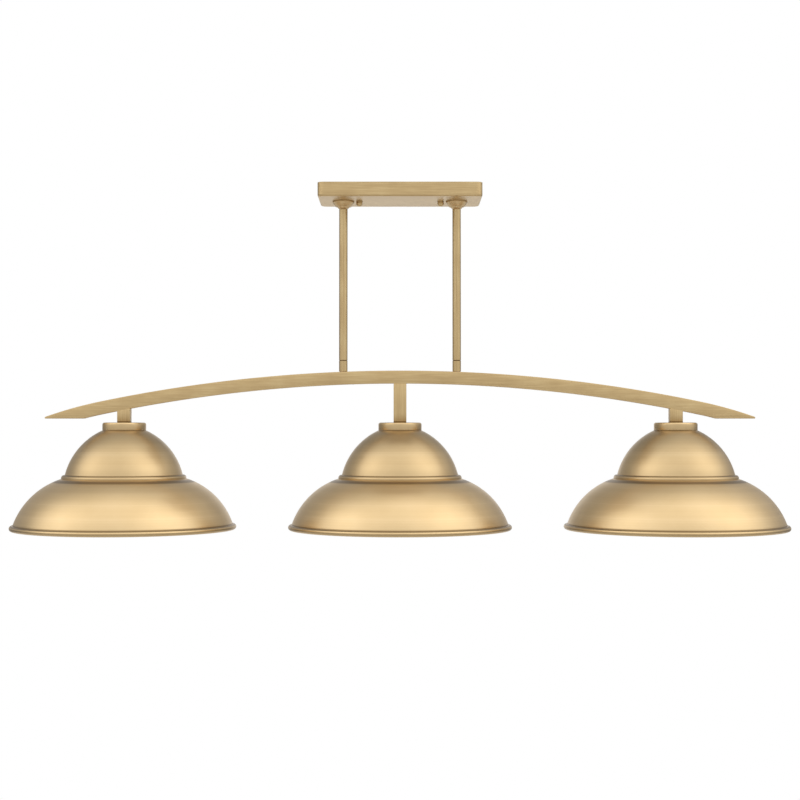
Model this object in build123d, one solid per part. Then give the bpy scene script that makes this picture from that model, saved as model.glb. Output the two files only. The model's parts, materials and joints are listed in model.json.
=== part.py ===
from build123d import *
import math
import os

# Linear island pendant with three lamps on one arched bar.
# Millimetres, +Z up, +X along the bar, front towards -Y.
# The origin is the centre of the ceiling face: everything hangs below Z = 0.

# ---------------------------------------------------------------- driving sizes

lamp_spacing = 431.8           # between neighbouring lamps, 17 in
rod_spacing = 177.8            # between the two down rods, 7 in
lead_diameter = 1.9            # 18 AWG fixture lead over its insulation
lead_pitch = 2.6               # between the leads that share a rod
lead_bend = 8.0                # bend radius of the leads in the bar
lead_floor_gap = 1.5           # under the leads that lie in the bar
canopy_lead_bend = 3.5
canopy_lead_gap = 1.3          # above a swivel ball, which turns under the leads' ends
canopy_lead_step = 2.8         # between the lower and the upper leads
canopy_lead_drop = 0.93        # of the lower leads below a connector's axis
canopy_lead_aside = 1.6        # of the lower leads from a connector's axis
ground_lead_bend = 2.8
terminal_lead_bend = 3.0
touch_gap = 0.3                # between pieces that move past each other
drill_over = 1.0               # how far a hole is cut past a face
thread_gap = 0.05              # radial, between a thread and its hole

# canopy and what hangs from the ceiling box
canopy_length = 254.0
canopy_depth = 114.3
canopy_height = 22.0
canopy_wall = 1.2
canopy_corner = 10.0
canopy_edge = 3.0
crossbar_end = 12.0            # of the crossbar past its studs
crossbar_width = 25.4
crossbar_thickness = 2.5
box_screw_spacing = 88.9       # 3.5 in, the ceiling box
box_slot_length = 16.0
box_slot_width = 4.8
stud_clearance = 3.0           # between a cap nut and the swivel cup beside it
stud_diameter = 4.2
stud_nut_width = 8.0
stud_nut_height = 3.0
cap_nut_diameter = 10.0
cap_nut_height = 8.0
cap_nut_bore_depth = 5.0
ground_screw_diameter = 4.2
ground_head_diameter = 8.0
ground_head_height = 3.0
connector_length = 24.0
connector_mouth_diameter = 15.0
connector_end_diameter = 10.0
connector_bore = 5.8
connector_bore_depth = 14.0
connector_offset = 20.0        # from the bar's plane to the mouths of the first two
ground_screw_x = 12.0
ground_connector_x = 38.0
ground_connector_y = 28.0

# hang-straight swivels
ball_diameter = 24.0
ball_drop = 2.0                # centre of the ball below the canopy
ball_top_cut = 5.0             # flat top above the centre
cup_wall = 1.7
cup_flange_width = 3.0
cup_flange_thickness = 2.2
cup_lip_angle = 62.0           # from straight down to the lip
cup_lip_width = 1.8
cup_thread_end = 0.8           # of the cup's neck above its ring nut
ring_nut_width = 4.0
ring_nut_height = 4.0

# rods, couplings and the threaded nipples inside them
rod_diameter = 13.3
rod_length = 238.0
coupling_height = 17.4
nipple_diameter = 9.6
nipple_bore = 7.0
nipple_grip = 8.0              # how far a nipple screws into each piece
bush_diameter = 12.4
bush_height = 5.0

# arched bar
bar_overhang = 123.0           # of the bar past the outer lamps
bar_height = 20.0
bar_depth = 16.0
bar_wall = 1.5
bar_radius = 2300.0            # top face, middle stretch
bar_middle_length = 940.0      # of the middle stretch
bar_end_radius = 640.0         # top face, end stretches
bar_tip_thickness = 2.6
tip_plate_thickness = 1.5
lead_hole = 10.0

# posts, collars and shades
post_width = 20.0
side_post_length = 20.0        # on the lamp's axis, under the bar
post_plug_height = 6.0
collar_diameter = 67.6
collar_height = 12.0
collar_wall = 1.2
collar_edge = 3.2
shade_diameter = 349.4
shade_height = 155.5
shade_wall = 0.9
shade_top_diameter = 66.8
waist_diameter = 183.8
dome_height = 74.3             # flat top to the middle of the waist bead
dome_radius = 104.0
bell_radius = 114.5
bead_radius = 4.6
rim_radius = 4.1

# lamp sockets and shade rings
socket_thread_diameter = 39.8
socket_length = 38.0           # below the shoulder
shoulder_diameter = 48.0
shoulder_height = 4.0
socket_cap_thickness = 2.0
socket_boss_diameter = 18.0
chamber_diameter = 28.0
chamber_depth = 6.0            # below the shoulder
partition_thickness = 4.0
terminal_offset = 9.0
terminal_diameter = 3.0
terminal_height = 2.0
shell_bore = 26.4
shell_wall = 0.5
shell_gap = 0.05
contact_strip_width = 6.0
contact_strip_thickness = 0.8
contact_button_diameter = 6.0
contact_button_height = 0.7
shade_hole_gap = 0.5           # radial, round the socket's thread
ring_gap = 0.08                # radial, of the ring on the socket
ring_diameter = 57.0
ring_height = 8.0
ring_notch_diameter = 7.0
ring_notch_count = 12

# bulb, standard pear shape with a medium screw cap
bulb_length = 108.0
bulb_diameter = 60.0
bulb_glass_wall = 0.8
cap_gap = 0.1                  # radial, of the cap in the screw shell
cap_wall = 0.5
cap_length = 24.0
cap_thread_depth = 0.55
cap_thread_pitch = 3.629
cap_thread_turns = 4
cap_glass_overlap = 7.0
tip_diameter = 8.4
tip_height = 1.6
tip_stem_diameter = 5.0
tip_stem_length = 2.4
insulator_height = 2.4
insulator_diameter = 14.0

# ---------------------------------------------------------------- worked out from them

sides = {"left": -1, "right": 1}
lamps = {"left": -lamp_spacing, "centre": 0.0, "right": lamp_spacing}
rod_x = rod_spacing / 2
rod_r = rod_diameter / 2
ball_r = ball_diameter / 2
nipple_r = nipple_diameter / 2
nipple_hole_r = nipple_r + thread_gap
lead_r = lead_diameter / 2
stud_r = stud_diameter / 2
collar_r = collar_diameter / 2
shade_r = shade_diameter / 2
socket_thread_r = socket_thread_diameter / 2
terminal_r = terminal_diameter / 2
shell_bore_r = shell_bore / 2
shell_outer_r = shell_bore_r + shell_wall
canopy_floor_z = -canopy_height + canopy_wall
bar_length = 2 * (lamp_spacing + bar_overhang)

cup_seat_r = ball_r + touch_gap
cup_neck_r = cup_seat_r + cup_wall
cup_flange_r = cup_neck_r + cup_flange_width
cup_top = ball_drop + canopy_wall + ring_nut_height + cup_thread_end
stud_x = rod_x - cup_flange_r - stud_clearance - cap_nut_diameter / 2
crossbar_length = 2 * (stud_x + crossbar_end)

ball_z = -canopy_height - ball_drop
ball_seat = math.sqrt(ball_r ** 2 - rod_r ** 2)
rod_top_z = ball_z - ball_seat
rod_foot_z = rod_top_z - rod_length
coupling_foot_z = rod_foot_z - coupling_height

# The coupling's flat foot rests on the bar where the arch is highest under it.
bar_centre_z = coupling_foot_z - math.sqrt(bar_radius ** 2 - (rod_x - rod_r) ** 2)
bar_top_z = bar_centre_z + bar_radius


def bar_under_z(x):
    """Height of the bar's underside at x."""
    return bar_centre_z + math.sqrt((bar_radius - bar_height) ** 2 - x ** 2)


post_foot_z = bar_under_z(lamp_spacing) - side_post_length
shade_top_z = post_foot_z - collar_height

# the end arcs meet the middle arc without a kink
middle_sine = bar_middle_length / 2 / bar_radius
middle_cosine = math.sqrt(1 - middle_sine ** 2)
end_centre_x = (bar_radius - bar_end_radius) * middle_sine
end_centre_z = bar_centre_z + (bar_radius - bar_end_radius) * middle_cosine
tip_top_z = end_centre_z + math.sqrt(bar_end_radius ** 2 - (bar_length / 2 - end_centre_x) ** 2)
level_cut_z = tip_top_z - bar_tip_thickness


# ---------------------------------------------------------------- shaping helpers

def line(a, b):
    """Straight edge between two (across, height) points of the X-Z plane."""
    return Line((a[0], 0, a[1]), (b[0], 0, b[1]))


def arc(centre, a, b):
    """Edge of the circle about centre, the short way from a to b."""
    radius = math.dist(centre, a)
    toward = (a[0] + b[0] - 2 * centre[0], a[1] + b[1] - 2 * centre[1])
    reach = radius / math.hypot(*toward)
    middle = (centre[0] + toward[0] * reach, centre[1] + toward[1] * reach)
    return ThreePointArc((a[0], 0, a[1]), (middle[0], 0, middle[1]), (b[0], 0, b[1]))


def chain(*points):
    """Straight edges through the points, one after another."""
    return [line(a, b) for a, b in zip(points, points[1:])]


def turned(edges):
    """Solid of revolution about Z from a closed outline right of the axis."""
    return revolve(make_face(edges), Axis.Z, clean=False)


def turned_outline(*points):
    """Solid of revolution about Z from the corners of its half section."""
    return turned(chain(*points, points[0]))


def plate(edges, depth):
    """Solid of this depth, centred on Y = 0, from an outline in the X-Z plane."""
    return extrude(make_face(edges), depth / 2, dir=(0, 1, 0), both=True)


def rod(radius, low, high):
    """Round bar along Z between two heights."""
    return Pos(0, 0, low) * Cylinder(radius, high - low, align=(Align.CENTER, Align.CENTER, Align.MIN))


def tube(outer, inner, low, high):
    """Round tube along Z between two heights."""
    return rod(outer, low, high) - rod(inner, low, high)


def block(width, depth, low, high):
    """Rectangular bar along Z between two heights."""
    return Pos(0, 0, low) * Box(width, depth, high - low, align=(Align.CENTER, Align.CENTER, Align.MIN))


def circle_centre(a, b, radius):
    """Centre of the circle through a and b that bulges away from the axis."""
    middle = ((a[0] + b[0]) / 2, (a[1] + b[1]) / 2)
    half = math.dist(a, b) / 2
    reach = math.sqrt(radius ** 2 - half ** 2)
    return (middle[0] - (a[1] - b[1]) / 2 / half * reach, middle[1] - (b[0] - a[0]) / 2 / half * reach)


def swept_lead(*parts):
    """Round lead along edges that follow one another without a kink."""
    path = Wire([edge for part in parts for edge in part.edges()])
    section = Plane(origin=path @ 0, z_dir=path % 0) * Circle(lead_r)
    return sweep(section, path=path)


def circles_meet(centre_a, radius_a, centre_b, radius_b):
    """The two points where two circles cross."""
    span = math.dist(centre_a, centre_b)
    along = (span ** 2 + radius_a ** 2 - radius_b ** 2) / (2 * span)
    aside = math.sqrt(radius_a ** 2 - along ** 2)
    across = ((centre_b[0] - centre_a[0]) / span, (centre_b[1] - centre_a[1]) / span)
    foot = (centre_a[0] + across[0] * along, centre_a[1] + across[1] * along)
    return [
        (foot[0] - across[1] * aside * sign, foot[1] + across[0] * aside * sign)
        for sign in (-1, 1)
    ]


def highest(points):
    return max(points, key=lambda point: point[1])


def rightmost(points):
    return max(points, key=lambda point: point[0])


# ---------------------------------------------------------------- at the ceiling

through_floor = (-canopy_height - drill_over, canopy_floor_z + drill_over)


def make_canopy():
    """Drawn sheet box, open to the ceiling, with holes for cups and studs."""
    outline = RectangleRounded(canopy_length, canopy_depth, canopy_corner)
    shell = Pos(0, 0, -canopy_height) * extrude(outline, canopy_height)
    shell = fillet(shell.faces().sort_by(Axis.Z)[0].edges(), canopy_edge)
    inner_length = canopy_length - 2 * canopy_wall
    inner_depth = canopy_depth - 2 * canopy_wall
    inner = RectangleRounded(inner_length, inner_depth, canopy_corner - canopy_wall)
    hollow = Pos(0, 0, canopy_floor_z) * extrude(inner, canopy_height)
    hollow = fillet(hollow.faces().sort_by(Axis.Z)[0].edges(), canopy_edge - canopy_wall)
    shell -= hollow
    for side in sides.values():
        shell -= Pos(side * rod_x, 0, 0) * rod(cup_neck_r + touch_gap, *through_floor)
        shell -= Pos(side * stud_x, 0, 0) * rod(stud_r + touch_gap, *through_floor)
    return shell


def make_crossbar():
    """Strap that screws to the ceiling box, tapped for the studs and the ground screw."""
    through = (-crossbar_thickness - drill_over, drill_over)
    strap = block(crossbar_length, crossbar_width, -crossbar_thickness, 0)
    slot = extrude(SlotOverall(box_slot_length, box_slot_width), crossbar_thickness, both=True)
    for side in sides.values():
        strap -= Pos(side * box_screw_spacing / 2, 0, 0) * slot
        strap -= Pos(side * stud_x, 0, 0) * rod(stud_r + thread_gap, *through)
    return strap - Pos(ground_screw_x, 0, 0) * rod(ground_screw_diameter / 2 + thread_gap, *through)


def make_stud():
    """Threaded stud from the crossbar down through the canopy into its cap nut."""
    return rod(stud_r, -canopy_height - cap_nut_bore_depth + touch_gap, -touch_gap)


def make_stud_nut():
    """Hexagon nut that locks a stud under the crossbar."""
    foot = -crossbar_thickness - stud_nut_height
    prism = extrude(RegularPolygon(stud_nut_width / 2, 6, major_radius=False), stud_nut_height)
    return Pos(0, 0, foot) * prism - rod(stud_r + thread_gap, foot, -crossbar_thickness)


def make_cap_nut():
    """Domed nut under the canopy, on a stud."""
    top = -canopy_height
    dome_r = cap_nut_diameter / 2
    shoulder = top - cap_nut_height + dome_r
    nut = turned([
        line((0, top), (dome_r, top)),
        line((dome_r, top), (dome_r, shoulder)),
        arc((0, shoulder), (dome_r, shoulder), (0, shoulder - dome_r)),
        line((0, shoulder - dome_r), (0, top)),
    ])
    return nut - rod(stud_r + thread_gap, top - cap_nut_bore_depth, top)


def make_ground_screw():
    """Ground screw, its head under the crossbar."""
    head_foot = -crossbar_thickness - ground_head_height
    screw = rod(ground_screw_diameter / 2, -crossbar_thickness, -touch_gap)
    return screw + rod(ground_head_diameter / 2, head_foot, -crossbar_thickness)


def make_connector():
    """Twist-on wire connector along Z, its mouth at the bottom."""
    mouth_r = connector_mouth_diameter / 2
    end_r = connector_end_diameter / 2
    edge = end_r / 4
    body = turned_outline(
        (0, 0), (mouth_r, 0), (mouth_r, connector_length / 3), (end_r, connector_length - edge),
        (end_r - edge, connector_length), (0, connector_length),
    )
    return body - rod(connector_bore / 2, 0, connector_bore_depth)


def make_cup():
    """Turned cup about the ball's centre: neck up through the canopy, lip under the ball."""
    lip = math.radians(cup_lip_angle)
    lip_point = (cup_seat_r * math.sin(lip), -cup_seat_r * math.cos(lip))
    lip_foot = lip_point[1] - cup_lip_width / 3
    flange_foot = ball_drop - cup_flange_thickness
    return turned([
        arc((0, 0), (cup_seat_r, 0), lip_point),
        *chain(
            lip_point, (lip_point[0], lip_foot), (lip_point[0] + cup_lip_width, lip_foot),
            (cup_flange_r, flange_foot), (cup_flange_r, ball_drop), (cup_neck_r, ball_drop),
            (cup_neck_r, cup_top), (cup_seat_r, cup_top), (cup_seat_r, 0),
        ),
    ])


def make_ring_nut():
    """Ring nut about the ball's centre that clamps a cup to the canopy from inside."""
    foot = ball_drop + canopy_wall
    return tube(cup_neck_r + ring_nut_width, cup_neck_r + thread_gap, foot, foot + ring_nut_height)


def make_ball():
    """Bored swivel ball about its centre, flat where the rod screws up against it."""
    ball = Sphere(ball_r) & rod(2 * ball_r, -ball_seat, ball_top_cut)
    return ball - rod(nipple_hole_r, -ball_r, ball_r)


# ---------------------------------------------------------------- rods

def make_nipple(low, high):
    """Hollow threaded nipple between two heights."""
    return tube(nipple_r, nipple_bore / 2, low, high)


def make_rod_bush(hollow):
    """Round bush welded up against the inside of the bar's top wall."""
    foot = coupling_foot_z - bar_wall - bush_height
    bush = tube(bush_diameter / 2, nipple_hole_r, foot, bar_top_z)
    return [Pos(side * rod_x, 0, 0) * bush & hollow for side in sides.values()]


# ---------------------------------------------------------------- arched bar

def bar_band(top_inset, under_inset, depth):
    """Arched band between two concentric curves, before its ends are cut."""
    end_sine = (bar_length / 2 + bar_height / 2 - end_centre_x) / bar_end_radius
    end_cosine = math.sqrt(1 - end_sine ** 2)

    def knee_and_end(inset):
        middle = bar_radius - inset
        end = bar_end_radius - inset
        knee = (middle * middle_sine, bar_centre_z + middle * middle_cosine)
        return knee, (end_centre_x + end * end_sine, end_centre_z + end * end_cosine)

    def mirrored(point):
        return (-point[0], point[1])

    top_knee, top_end = knee_and_end(top_inset)
    low_knee, low_end = knee_and_end(bar_height - under_inset)
    middle_centre = (0, bar_centre_z)
    end_centre = (end_centre_x, end_centre_z)
    return plate([
        arc(middle_centre, mirrored(top_knee), top_knee),
        arc(end_centre, top_knee, top_end),
        line(top_end, low_end),
        arc(end_centre, low_end, low_knee),
        arc(middle_centre, low_knee, mirrored(low_knee)),
        arc(mirrored(end_centre), mirrored(low_knee), mirrored(low_end)),
        line(mirrored(low_end), mirrored(top_end)),
        arc(mirrored(end_centre), mirrored(top_end), mirrored(top_knee)),
    ], depth)


def bar_outside():
    """The bar's outer form, with the level cut that draws its ends to a point."""
    return bar_band(0, 0, bar_depth) & block(bar_length, 2 * bar_depth, level_cut_z, bar_top_z + drill_over)


def bar_hollow(low):
    """The bar's inside above this height, short of the thin tips."""
    length = bar_length - 6 * bar_wall
    return bar_band(bar_wall, bar_wall, bar_depth - 2 * bar_wall) & block(length, bar_depth, low, bar_top_z)


def make_bar():
    """Rectangular tube rolled to an arch, drilled for the nipples and the leads."""
    bar = bar_outside() - bar_hollow(level_cut_z - bar_height)
    for side in sides.values():
        hole = rod(nipple_hole_r, bar_top_z - bar_height / 2, bar_top_z + drill_over)
        bar -= Pos(side * rod_x, 0, 0) * hole
    for x in lamps.values():
        bar -= Pos(x, 0, bar_under_z(x)) * rod(lead_hole / 2, -2 * bar_wall, 3 * bar_wall)
    return bar


def make_tip_plates():
    """Plates welded into the level cuts under the bar's two ends."""
    slab = block(bar_length, bar_depth, level_cut_z, level_cut_z + tip_plate_thickness)
    return bar_hollow(level_cut_z) & slab


# ---------------------------------------------------------------- posts and collars

def make_post(x):
    """Short rectangular tube, coped to the bar's curved underside."""
    reach = bar_under_z(x) + bar_height / 2
    post = block(post_width, bar_depth, post_foot_z, reach)
    post -= block(post_width - 2 * bar_wall, bar_depth - 2 * bar_wall, post_foot_z, reach)
    return Pos(x, 0, 0) * post - bar_band(0, 0, 2 * bar_depth)


def make_post_plug():
    """Tapped plug welded into a post's foot."""
    top = post_foot_z + post_plug_height
    plug = block(post_width - 2 * bar_wall, bar_depth - 2 * bar_wall, post_foot_z, top)
    return plug - rod(nipple_hole_r, post_foot_z, top)


def make_collar():
    """Spun cup over the socket's top, its rim down on the shade."""
    outer = rod(collar_r, shade_top_z, post_foot_z)
    outer = fillet(outer.faces().sort_by(Axis.Z)[-1].edges(), collar_edge)
    inner = rod(collar_r - collar_wall, shade_top_z, post_foot_z - collar_wall)
    inner = fillet(inner.faces().sort_by(Axis.Z)[-1].edges(), collar_edge - collar_wall)
    return outer - inner - rod(nipple_hole_r, shade_top_z, post_foot_z)


# ---------------------------------------------------------------- shade and its ring
# From here to the bulb, pieces are drawn about a lamp's axis, down from the shade's flat top.

def make_shade():
    """Spun sheet: flat top, dome, hollow bead at the waist, wide bell and curled rim."""
    waist = (waist_diameter / 2, -dome_height)
    rim = (shade_r - rim_radius, rim_radius - shade_height)
    dome_top = (shade_top_diameter / 2, 0)
    dome = circle_centre(dome_top, waist, dome_radius)
    bell = circle_centre(waist, rim, bell_radius)
    hole_r = socket_thread_r + shade_hole_gap

    def dome_bead(wall):
        return highest(circles_meet(dome, dome_radius - wall, waist, bead_radius - wall))

    def bead_bell(wall):
        return rightmost(circles_meet(bell, bell_radius - wall, waist, bead_radius - wall))

    def bell_rim(wall):
        return highest(circles_meet(bell, bell_radius - wall, rim, rim_radius - wall))

    def rim_quarters(wall):
        """Outermost, lowest and innermost points of the curl."""
        reach = rim_radius - wall
        return (rim[0] + reach, rim[1]), (rim[0], rim[1] - reach), (rim[0] - reach, rim[1])

    inner_radius = dome_radius - shade_wall
    inner_top_x = dome[0] + math.sqrt(inner_radius ** 2 - (-shade_wall - dome[1]) ** 2)
    out, foot, curl_end = rim_quarters(0)
    out_in, foot_in, curl_end_in = rim_quarters(shade_wall)
    return turned([
        line((hole_r, 0), dome_top),
        arc(dome, dome_top, dome_bead(0)),
        arc(waist, dome_bead(0), bead_bell(0)),
        arc(bell, bead_bell(0), bell_rim(0)),
        arc(rim, bell_rim(0), out),
        arc(rim, out, foot),
        arc(rim, foot, curl_end),
        line(curl_end, curl_end_in),
        arc(rim, curl_end_in, foot_in),
        arc(rim, foot_in, out_in),
        arc(rim, out_in, bell_rim(shade_wall)),
        arc(bell, bell_rim(shade_wall), bead_bell(shade_wall)),
        arc(waist, bead_bell(shade_wall), dome_bead(shade_wall)),
        arc(dome, dome_bead(shade_wall), (inner_top_x, -shade_wall)),
        *chain((inner_top_x, -shade_wall), (hole_r, -shade_wall), (hole_r, 0)),
    ])


def make_shade_ring():
    """Ring that screws up the socket and holds the shade, notched for the fingers."""
    top = -shade_wall
    ring = tube(ring_diameter / 2, socket_thread_r + ring_gap, top - ring_height, top)
    notch = rod(ring_notch_diameter / 2, top - ring_height, top)
    reach = ring_diameter / 2 + ring_notch_diameter / 4
    return ring - PolarLocations(reach, ring_notch_count) * notch


# ---------------------------------------------------------------- socket

partition_top = -chamber_depth
partition_foot = partition_top - partition_thickness
terminal_top = partition_top + terminal_height
contact_foot = partition_foot - contact_strip_thickness


def terminal(side):
    """Rivet that carries one lead through the partition."""
    return Pos(0, side * terminal_offset, 0) * rod(terminal_r, partition_foot, terminal_top)


def make_socket_cap():
    """Cover over the socket's wiring chamber, tapped for the nipple."""
    disc_top = shoulder_height + socket_cap_thickness
    boss_top = collar_height - collar_wall
    cover = rod(shoulder_diameter / 2, shoulder_height, disc_top)
    cover += rod(socket_boss_diameter / 2, disc_top, boss_top)
    return cover - rod(nipple_hole_r, shoulder_height, boss_top)


def make_socket_body():
    """Moulded socket: shoulder on the shade, thread outside, screw shell inside."""
    body = rod(shoulder_diameter / 2, 0, shoulder_height) + rod(socket_thread_r, -socket_length, 0)
    body -= rod(chamber_diameter / 2, partition_top, shoulder_height)
    body -= rod(shell_outer_r + shell_gap, -socket_length, partition_foot)
    for side in (-1, 1):
        hole = rod(terminal_r + shell_gap, partition_foot, partition_top)
        body -= Pos(0, side * terminal_offset, 0) * hole
    return body


def make_screw_shell():
    """Threaded brass sleeve with the neutral terminal."""
    sleeve = tube(shell_outer_r, shell_bore_r, -socket_length, partition_foot)
    tab_reach = shell_outer_r - terminal_offset + terminal_r
    tab = block(contact_strip_width, tab_reach, partition_foot - shell_wall, partition_foot)
    tab = Pos(0, shell_outer_r - tab_reach / 2, 0) * tab
    return sleeve + (tab & rod(shell_outer_r, -socket_length, 0)) + terminal(1)


def make_centre_contact():
    """Brass strip and button with the live terminal."""
    length = terminal_offset + 2 * terminal_r + contact_button_diameter / 2
    strip = block(contact_strip_width, length, contact_foot, partition_foot)
    strip = Pos(0, contact_button_diameter / 2 + terminal_r / 2 - length / 2, 0) * strip
    button = rod(contact_button_diameter / 2, contact_foot - contact_button_height, contact_foot)
    return strip + button + terminal(-1)


# ---------------------------------------------------------------- bulb

bulb_top = contact_foot - contact_button_height
insulator_top = bulb_top - tip_height
cap_top = insulator_top - insulator_height
cap_foot = insulator_top - cap_length
cap_crest_r = shell_bore_r - cap_gap
cap_root_r = cap_crest_r - cap_thread_depth
cap_inner_r = cap_root_r - cap_wall


def make_bulb_tip():
    """Soldered contact at the bulb's top, on its stem."""
    stem = rod(tip_stem_diameter / 2, insulator_top - tip_stem_length, insulator_top)
    return stem + rod(tip_diameter / 2, insulator_top, bulb_top)


def make_bulb_cap():
    """Rolled screw cap with its insulator, ribbed at the thread's pitch."""
    stem_hole_r = tip_stem_diameter / 2 + cap_gap
    first_rib = cap_foot + (cap_length - insulator_height - cap_thread_turns * cap_thread_pitch) / 2
    ribs = []
    for turn in range(cap_thread_turns):
        foot = first_rib + turn * cap_thread_pitch
        ribs += [
            (cap_root_r, foot), (cap_crest_r, foot + cap_thread_pitch / 4),
            (cap_crest_r, foot + cap_thread_pitch / 2), (cap_root_r, foot + cap_thread_pitch * 3 / 4),
        ]
    return turned_outline(
        (cap_inner_r, cap_foot), (cap_root_r, cap_foot), *ribs, (cap_root_r, cap_top),
        (insulator_diameter / 2, insulator_top), (stem_hole_r, insulator_top),
        (stem_hole_r, cap_top), (cap_inner_r, cap_top),
    )


def make_bulb_glass():
    """Blown glass: straight neck in the cap, flared shoulder, round end."""
    ball = (0, bulb_top - bulb_length + bulb_diameter / 2)
    neck_r = cap_inner_r - shell_gap
    neck_foot = cap_foot - cap_glass_overlap / 2
    neck_top = cap_foot + cap_glass_overlap
    rise = neck_foot - ball[1]

    def outline(inset):
        """Neck, flare tangent to both, and the round end."""
        ball_radius = bulb_diameter / 2 - inset
        side = neck_r - inset
        flare_radius = (side ** 2 + rise ** 2 - ball_radius ** 2) / (2 * (ball_radius - side))
        flare = (side + flare_radius, neck_foot)
        share = ball_radius / (ball_radius + flare_radius)
        touch = (flare[0] * share, ball[1] + rise * share)
        bottom = (0, ball[1] - ball_radius)
        return side, flare, touch, bottom, (ball_radius, ball[1])

    side, flare, touch, bottom, widest = outline(0)
    side_in, flare_in, touch_in, bottom_in, widest_in = outline(bulb_glass_wall)
    return turned([
        line((side, neck_top), (side, neck_foot)),
        arc(flare, (side, neck_foot), touch),
        arc(ball, touch, widest),
        arc(ball, widest, bottom),
        line(bottom, bottom_in),
        arc(ball, bottom_in, widest_in),
        arc(ball, widest_in, touch_in),
        arc(flare_in, touch_in, (side_in, neck_foot)),
        *chain((side_in, neck_foot), (side_in, neck_top), (side, neck_top)),
    ])


# ---------------------------------------------------------------- leads

lead_offset = lead_pitch / 2
ball_top_z = ball_z + ball_top_cut
lead_line_radius = bar_radius - bar_height + bar_wall + lead_floor_gap + lead_r


def lamp_lead(lamp_x, rod_axis_x, shift, side):
    """Lead from a socket's terminal up its post, along the bar and up a rod."""
    y = side * lead_offset
    rod_line_x = rod_axis_x + shift
    way = 1 if rod_line_x > lamp_x else -1
    below = (lamp_x + way * lead_bend, lead_line_radius - lead_bend)
    above = (rod_line_x - way * lead_bend, lead_line_radius + lead_bend)

    def bend(x, reach):
        """Centre of a bend and the point where it meets the line along the bar."""
        height = math.sqrt(reach ** 2 - x ** 2)
        share = lead_line_radius / reach
        return (x, bar_centre_z + height), (x * share, bar_centre_z + height * share)

    post_bend, post_meet = bend(*below)
    rod_bend, rod_meet = bend(*above)
    post_turn = (lamp_x, post_bend[1])
    rod_turn = (rod_line_x, rod_bend[1])
    along = [
        arc(post_bend, post_turn, post_meet),
        arc((0, bar_centre_z), post_meet, rod_meet),
        arc(rod_bend, rod_meet, rod_turn),
        line(rod_turn, (rod_line_x, ball_top_z)),
    ]
    terminal_y = side * terminal_offset
    knee = shade_top_z + shoulder_height - lead_r
    foot = FilletPolyline(
        (lamp_x, terminal_y, shade_top_z + terminal_top),
        (lamp_x, terminal_y, shade_top_z + terminal_top + terminal_lead_bend),
        (lamp_x, y, knee),
        (lamp_x, y, post_turn[1]),
        radius=terminal_lead_bend,
    )
    return swept_lead(foot, *[Pos(0, y, 0) * edge for edge in along])


lead_runs = [
    (lamps["left"], -rod_x, -lead_offset),
    (lamps["centre"], -rod_x, lead_offset),
    (lamps["right"], rod_x, 0),
]


def make_lamp_leads(side):
    """All leads of one polarity below the swivels."""
    return [lamp_lead(*run, side) for run in lead_runs]


# the connectors lie on the canopy's floor
connector_z = canopy_floor_z + touch_gap + connector_mouth_diameter / 2
low_run_z = connector_z - canopy_lead_drop
high_run_z = low_run_z + canopy_lead_step


def make_canopy_leads(side):
    """All leads of one polarity from the swivel balls to their connector."""
    y = side * lead_offset
    mouth_y = side * connector_offset
    starts = [
        (-rod_x - lead_offset, high_run_z, 0),
        (-rod_x + lead_offset, low_run_z, -canopy_lead_aside),
        (rod_x, low_run_z, canopy_lead_aside),
    ]
    return [
        swept_lead(FilletPolyline(
            (x, y, ball_top_z + canopy_lead_gap),
            (x, y, run_z),
            (end_x, mouth_y - side * canopy_lead_bend, run_z),
            (end_x, mouth_y + side * connector_bore_depth, run_z),
            radius=canopy_lead_bend,
        ))
        for x, run_z, end_x in starts
    ]


def make_ground_lead():
    """Lead from the ground screw to the third connector."""
    head_foot = -crossbar_thickness - ground_head_height
    run_z = head_foot - canopy_lead_bend
    return swept_lead(FilletPolyline(
        (ground_screw_x, 0, head_foot),
        (ground_screw_x, 0, run_z),
        (ground_connector_x - 3 * canopy_lead_bend, ground_connector_y, connector_z),
        (ground_connector_x + connector_bore_depth, ground_connector_y, connector_z),
        radius=ground_lead_bend,
    ))


# ---------------------------------------------------------------- every piece in its place

def at_sides(piece, x, z=0.0):
    return [Pos(side * x, 0, z) * piece for side in sides.values()]


def at_lamps(piece, z=0.0):
    return [Pos(x, 0, z) * piece for x in lamps.values()]


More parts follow.
